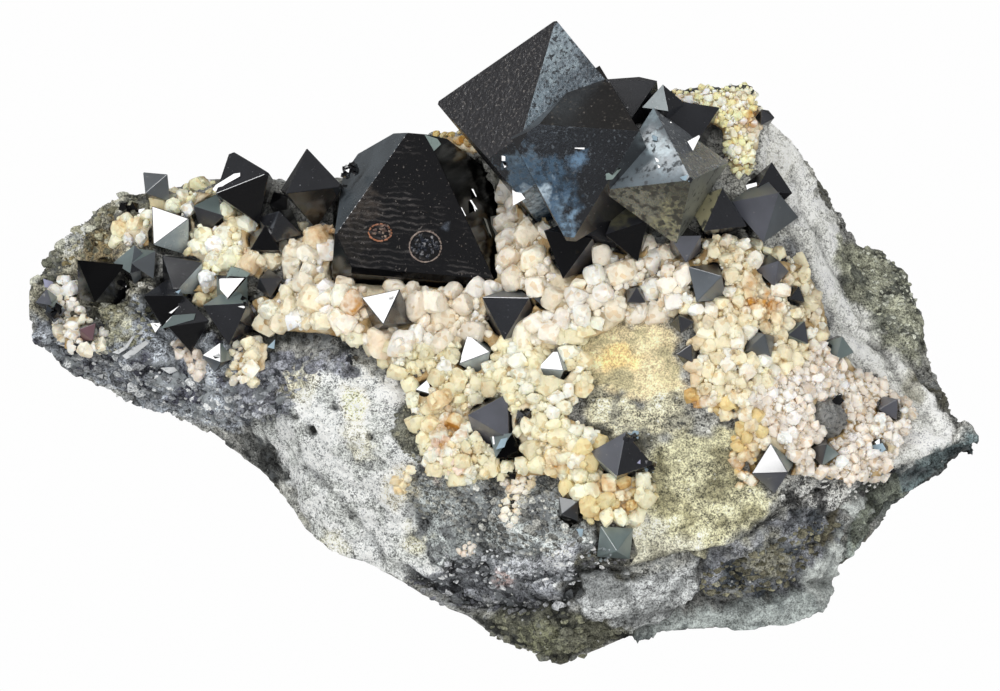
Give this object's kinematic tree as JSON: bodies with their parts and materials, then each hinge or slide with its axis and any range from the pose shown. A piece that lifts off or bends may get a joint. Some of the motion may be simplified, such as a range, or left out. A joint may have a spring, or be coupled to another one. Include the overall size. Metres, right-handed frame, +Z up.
{
  "type": "magnetite specimen",
  "caption": "Mineral specimen: black magnetite octahedra and cream feldspar grains on a loose wedge of grey schist.",
  "frame": {"origin": "middle of the bounding box's underside, on the flat base", "axes": "+X along the specimen's length, from the thin arm to the pointed tip; -Y towards the front, where the crystal-bearing face slopes down; +Z up"},
  "size_m": [0.1102, 0.0644, 0.0544],
  "materials": {
    "schist_matrix": "broken, foliated grey rock with mica glitter and yellow-green stains",
    "feldspar": "cream vitreous grains, some stained yellow",
    "magnetite": "black, metallic, mirror-like flat faces with fine growth lines"
  },
  "bodies": {
    "root": {"feldspar_crust_centre": "feldspar", "feldspar_crust_left": "feldspar", "feldspar_crust_notch": "feldspar", "feldspar_crust_right": "feldspar", "feldspar_crust_top": "feldspar", "feldspar_tuft_arm": "feldspar", "feldspar_tuft_left": "feldspar", "magnetite_arm_black": "magnetite", "magnetite_arm_bright": "magnetite", "magnetite_arm_flat": "magnetite", "magnetite_arm_glint": "magnetite", "magnetite_arm_low": "magnetite", "magnetite_arm_pale": "magnetite", "magnetite_arm_top": "magnetite", "magnetite_corner": "magnetite", "magnetite_crown": "magnetite", "magnetite_edge_left": "magnetite", "magnetite_edge_red": "magnetite", "magnetite_far_right": "magnetite", "magnetite_left_great": "magnetite", "magnetite_left_low": "magnetite", "magnetite_left_row": "magnetite", "magnetite_low_grey": "magnetite", "magnetite_low_middle": "magnetite", "magnetite_low_slate": "magnetite", "magnetite_low_sliver": "magnetite", "magnetite_low_speck": "magnetite", "magnetite_nodule": "magnetite", "magnetite_right_black": "magnetite", "magnetite_right_blue": "magnetite", "magnetite_right_bright": "magnetite", "magnetite_right_dull": "magnetite", "magnetite_right_foot": "magnetite", "magnetite_right_glint": "magnetite", "magnetite_right_grey": "magnetite", "magnetite_right_small": "magnetite", "magnetite_right_top_speck": "magnetite", "magnetite_right_upper": "magnetite", "magnetite_speck_low": "magnetite", "magnetite_speck_middle": "magnetite", "magnetite_speck_right": "magnetite", "magnetite_speck_upper": "magnetite", "magnetite_under_black": "magnetite", "magnetite_under_white": "magnetite", "magnetite_white_face": "magnetite", "magnetite_white_small": "magnetite", "magnetite_white_tiny": "magnetite", "schist_matrix": "schist_matrix"}
  },
  "joints": []
}
